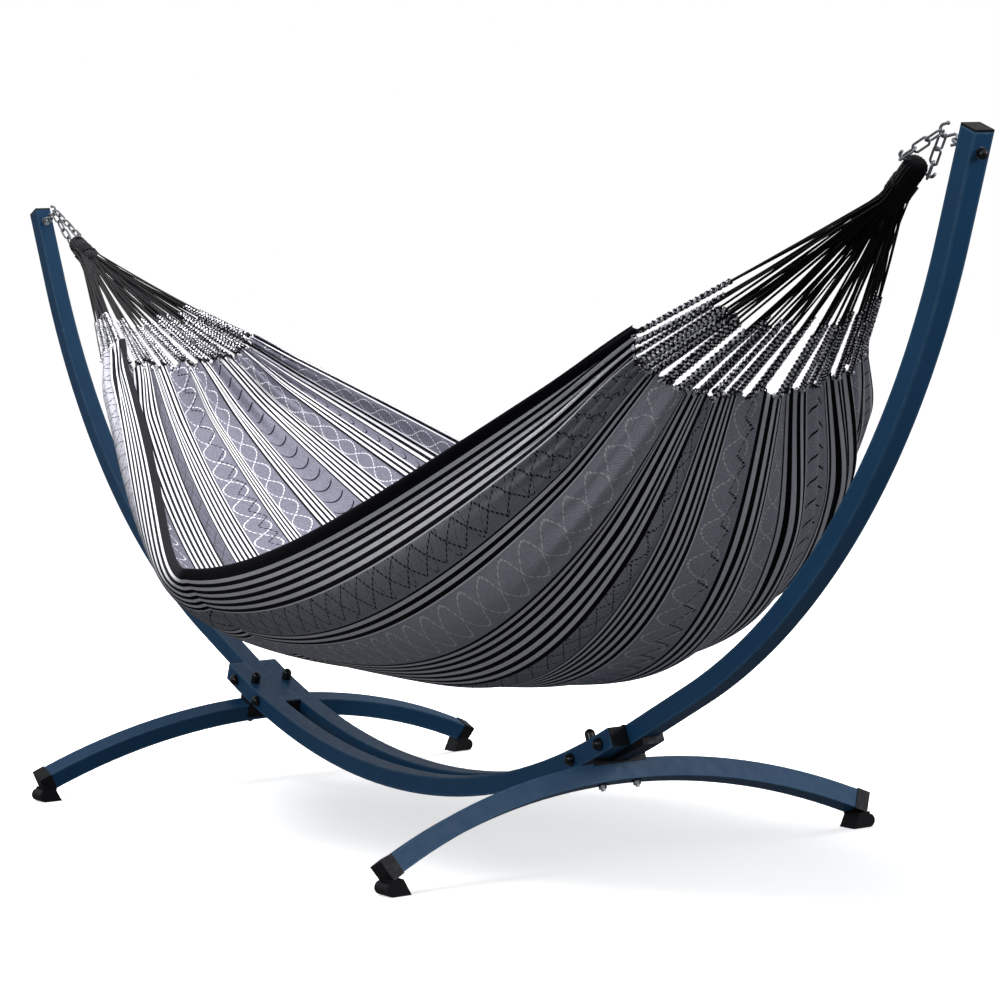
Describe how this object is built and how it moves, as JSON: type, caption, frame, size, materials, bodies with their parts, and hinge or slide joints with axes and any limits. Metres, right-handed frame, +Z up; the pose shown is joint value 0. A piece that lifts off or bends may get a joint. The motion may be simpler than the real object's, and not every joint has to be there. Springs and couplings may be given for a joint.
{
  "type": "hammock on stand",
  "caption": "Wide woven hammock with fanned end cords, hung by hooks and chains from a bolted arc stand of square steel tube.",
  "frame": {"origin": "centre of the stand's footprint, on the floor", "axes": "+X along the hammock towards its right end, +Y across it towards the rear, +Z up"},
  "size_m": [3.642, 1.0784, 1.2959],
  "materials": {
    "navy_tube": "satin navy powder coat",
    "black_moulding": "moulded black plastic",
    "black_cap": "glossy black plastic",
    "steel": "bright zinc-plated steel",
    "black_cord": "black twisted cotton cord",
    "braided_cord": "black and white braided cotton cord",
    "woven_cloth": "woven cotton with black, white and grey stripes and patterned bands"
  },
  "bodies": {
    "stand": {"left_post": "navy_tube", "right_post": "navy_tube", "front_rail": "navy_tube", "rear_rail": "navy_tube", "left_foot_bar": "navy_tube", "right_foot_bar": "navy_tube", "left_saddle": "black_moulding", "right_saddle": "black_moulding", "left_post_top_cap": "black_cap", "right_post_top_cap": "black_cap", "left_post_end_plug": "black_cap", "right_post_end_plug": "black_cap", "front_rail_end_plugs": "black_cap", "rear_rail_end_plugs": "black_cap", "left_front_foot": "black_moulding", "left_rear_foot": "black_moulding", "right_front_foot": "black_moulding", "right_rear_foot": "black_moulding", "left_eye_bolt": "steel", "right_eye_bolt": "steel", "eye_bolt_washers": "steel", "eye_bolt_dome_nuts": "black_cap", "left_rail_bolts": "steel", "right_rail_bolts": "steel", "rail_bolt_nuts": "steel", "rail_bolt_caps": "black_cap", "left_foot_bar_bolts": "steel", "right_foot_bar_bolts": "steel", "foot_bar_bolt_caps": "black_cap", "foot_bar_washers": "black_cap", "foot_bar_nuts": "steel"},
    "hammock": {"left_hook": "steel", "right_hook": "steel", "left_upper_chain": "steel", "left_lower_chain": "steel", "right_upper_chain": "steel", "right_lower_chain": "steel", "left_pin": "steel", "right_pin": "steel", "left_cord_bundle": "black_cord", "right_cord_bundle": "black_cord", "left_end_cords": "black_cord", "right_end_cords": "black_cord", "left_end_braids": "braided_cord", "right_end_braids": "braided_cord", "hammock_bed": "woven_cloth"}
  },
  "joints": [
    {"name": "hammock_swing", "type": "hinge", "parent": "stand", "child": "hammock", "pos_m": [0, 0, 1.26605], "axis": [1, 0, 0], "range_deg": [-30, 30]}
  ]
}
